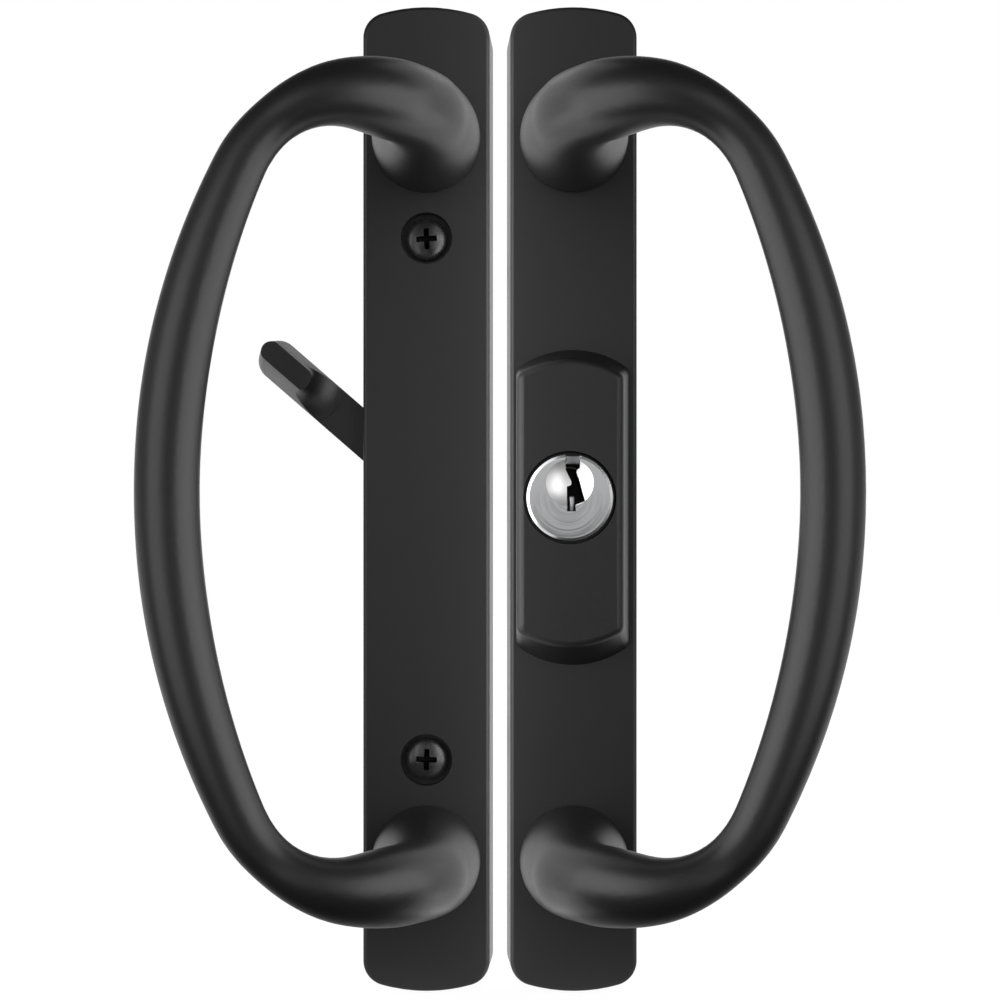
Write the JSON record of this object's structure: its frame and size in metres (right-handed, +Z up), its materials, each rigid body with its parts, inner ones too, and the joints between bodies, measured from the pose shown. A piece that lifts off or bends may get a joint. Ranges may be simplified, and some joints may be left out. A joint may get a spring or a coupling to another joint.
{
  "type": "sliding patio door handle",
  "caption": "Black sliding patio door handle: inside half with thumb latch lever and screws, outside half with key lock, each with an arched plate and a curved round pull.",
  "frame": {"origin": "on the door plane, midway between the inside half's two through screws", "axes": "+X to the right as seen from the front, +Y into the door, +Z up along the plates"},
  "size_m": [0.1256, 0.1095, 0.1898],
  "materials": {
    "black_coat": "satin black powder coat on zinc alloy castings",
    "black_steel": "black-coated steel screws",
    "zinc_steel": "bright zinc-plated steel",
    "spring_steel": "spring steel, oiled",
    "brass": "machined brass",
    "chrome": "chromed, turned face with a polished dimple",
    "nylon": "natural nylon"
  },
  "bodies": {
    "handle_set": {"inside_escutcheon": "black_coat", "inside_pull": "black_coat", "inside_pull_screws": "zinc_steel", "lever_bush": "nylon", "lever_spring_washer": "spring_steel", "lever_retainer": "zinc_steel", "retainer_screws": "zinc_steel", "through_screws": "black_steel", "outside_escutcheon": "black_coat", "outside_pull": "black_coat", "outside_pull_screws": "zinc_steel", "mounting_posts": "zinc_steel", "cylinder_body": "brass", "cylinder_bracket": "zinc_steel", "bracket_screws": "zinc_steel"},
    "lever": {"thumb_lever": "black_coat", "lever_tailpiece": "zinc_steel", "tailpiece_pin": "zinc_steel"},
    "plug": {"key_plug": "chrome", "plug_clip": "spring_steel", "cylinder_tailpiece": "zinc_steel"}
  },
  "joints": [
    {"name": "lever_turn", "type": "hinge", "parent": "handle_set", "child": "lever", "pos_m": [0.001, 0, 0], "axis": [0, -1, 0], "range_deg": [0, 82]},
    {"name": "plug_turn", "type": "hinge", "parent": "handle_set", "child": "plug", "pos_m": [0.0272, 0, 0], "axis": [0, -1, 0], "range_deg": [-90, 90]}
  ]
}
